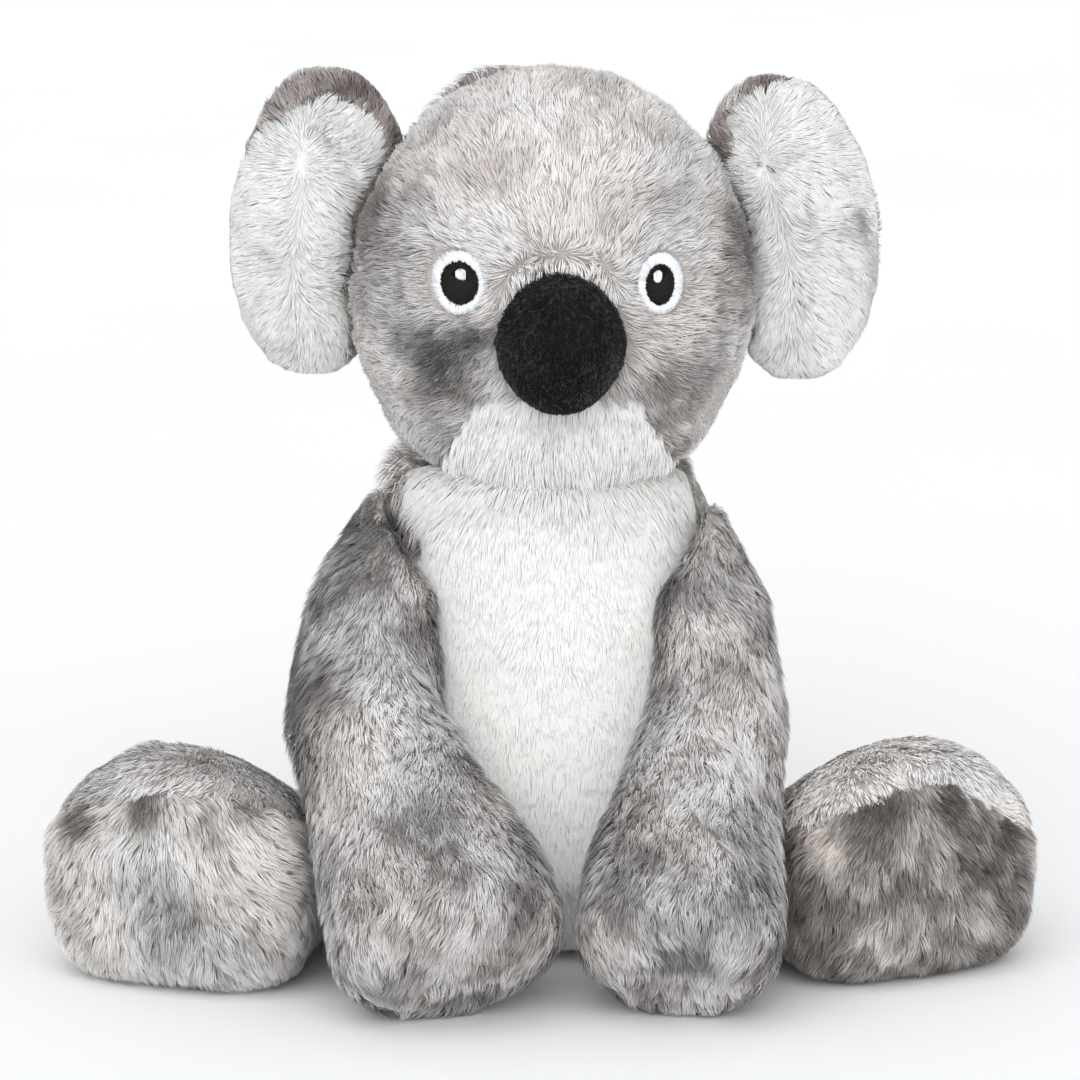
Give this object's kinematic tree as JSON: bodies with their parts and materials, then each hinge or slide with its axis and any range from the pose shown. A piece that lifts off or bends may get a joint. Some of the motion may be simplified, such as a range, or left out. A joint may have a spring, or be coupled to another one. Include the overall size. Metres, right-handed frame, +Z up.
{
  "type": "plush koala",
  "caption": "Seated stuffed koala of long pile plush: round head with fluffy ears, stuffed nose and embroidered eyes, drooping arms and thick splayed legs.",
  "frame": {"origin": "the middle of the flat under the body, on the surface that the koala sits on", "axes": "+Z up, -Y the way the koala faces, +X to the right as seen by someone who faces it, across its splayed feet"},
  "size_m": [0.3619, 0.2122, 0.326],
  "materials": {
    "grey_pile": "long mottled grey pile",
    "dark_pile": "long dark grey pile",
    "sole_pile": "long pale grey pile",
    "white_pile": "dense white pile",
    "black_plush": "short black plush",
    "white_thread": "satin stitch in white thread",
    "dark_thread": "rows of dark brown thread",
    "filling": "loose polyester fibre"
  },
  "bodies": {
    "body": {"belly_panel": "white_pile", "body_back_panel": "grey_pile", "body_filling": "filling"},
    "head": {"face_panel": "grey_pile", "chin_panel": "white_pile", "head_back_panel": "dark_pile", "head_filling": "filling", "nose_skin": "black_plush", "nose_filling": "filling", "left_eye_ring": "white_thread", "left_eye_disc": "dark_thread", "left_eye_highlight": "white_thread", "right_eye_ring": "white_thread", "right_eye_disc": "dark_thread", "right_eye_highlight": "white_thread"},
    "left_ear": {"left_ear_back": "dark_pile", "left_ear_lining": "white_pile"},
    "right_ear": {"right_ear_back": "dark_pile", "right_ear_lining": "white_pile"},
    "left_arm": {"left_arm_front_panel": "grey_pile", "left_arm_under_panel": "grey_pile", "left_arm_filling": "filling"},
    "right_arm": {"right_arm_front_panel": "grey_pile", "right_arm_under_panel": "grey_pile", "right_arm_filling": "filling"},
    "left_leg": {"left_leg_panel": "grey_pile", "left_sole_panel": "sole_pile", "left_leg_filling": "filling"},
    "right_leg": {"right_leg_panel": "grey_pile", "right_sole_panel": "sole_pile", "right_leg_filling": "filling"}
  },
  "joints": [
    {"name": "neck", "type": "hinge", "parent": "body", "child": "head", "pos_m": [0, -0.005, 0.181], "axis": [0, 0, 1], "range_deg": [-35, 35], "stiffness_Nm_per_rad": 0.05},
    {"name": "left_shoulder", "type": "hinge", "parent": "body", "child": "left_arm", "pos_m": [-0.047, -0.013, 0.14], "axis": [-1, 0, 0], "range_deg": [0, 50], "stiffness_Nm_per_rad": 0.02},
    {"name": "right_shoulder", "type": "hinge", "parent": "body", "child": "right_arm", "pos_m": [0.047, -0.013, 0.14], "axis": [-1, 0, 0], "range_deg": [0, 50], "stiffness_Nm_per_rad": 0.02},
    {"name": "left_hip", "type": "hinge", "parent": "body", "child": "left_leg", "pos_m": [-0.062, 0.008, 0.044], "axis": [0, 0, -1], "range_deg": [0, 25], "stiffness_Nm_per_rad": 0.03},
    {"name": "right_hip", "type": "hinge", "parent": "body", "child": "right_leg", "pos_m": [0.062, 0.008, 0.044], "axis": [0, 0, 1], "range_deg": [0, 25], "stiffness_Nm_per_rad": 0.03},
    {"name": "left_ear_fold", "type": "hinge", "parent": "head", "child": "left_ear", "pos_m": [-0.07, 0.007, 0.262], "axis": [0.1219, 0, 0.9925], "range_deg": [-20, 35], "stiffness_Nm_per_rad": 0.01},
    {"name": "right_ear_fold", "type": "hinge", "parent": "head", "child": "right_ear", "pos_m": [0.07, 0.007, 0.262], "axis": [0.1219, 0, -0.9925], "range_deg": [-20, 35], "stiffness_Nm_per_rad": 0.01}
  ]
}
